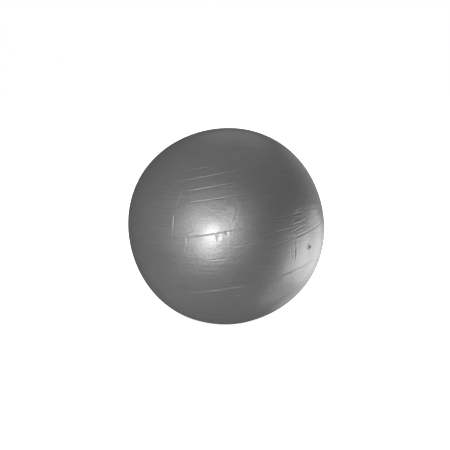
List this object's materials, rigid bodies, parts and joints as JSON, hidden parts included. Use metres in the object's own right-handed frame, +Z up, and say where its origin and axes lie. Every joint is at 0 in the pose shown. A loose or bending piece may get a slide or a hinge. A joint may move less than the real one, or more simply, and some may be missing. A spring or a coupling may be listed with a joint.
{
  "type": "exercise ball",
  "caption": "Large inflated exercise ball with a seamless creased PVC skin and a recessed valve closed by a push-in air plug.",
  "frame": {"origin": "centre of the round patch where the skin lies flat on the floor", "axes": "+Z up through the ball's centre; +X and +Y level, with the valve at 35.6 degrees from +X towards -Y, 7 degrees below the level of the ball's centre"},
  "size_m": [0.6499, 0.6498, 0.6472],
  "materials": {
    "skin": "satin",
    "seat": "satin",
    "plug": "satin"
  },
  "bodies": {
    "ball": {"ball_shell": "skin", "valve_seat": "seat"},
    "plug": {"air_plug": "plug"}
  },
  "joints": [
    {"name": "plug_pull", "type": "slide", "parent": "ball", "child": "plug", "axis": [0.807, -0.5778, -0.1219], "range_m": [0, 0.032]}
  ]
}
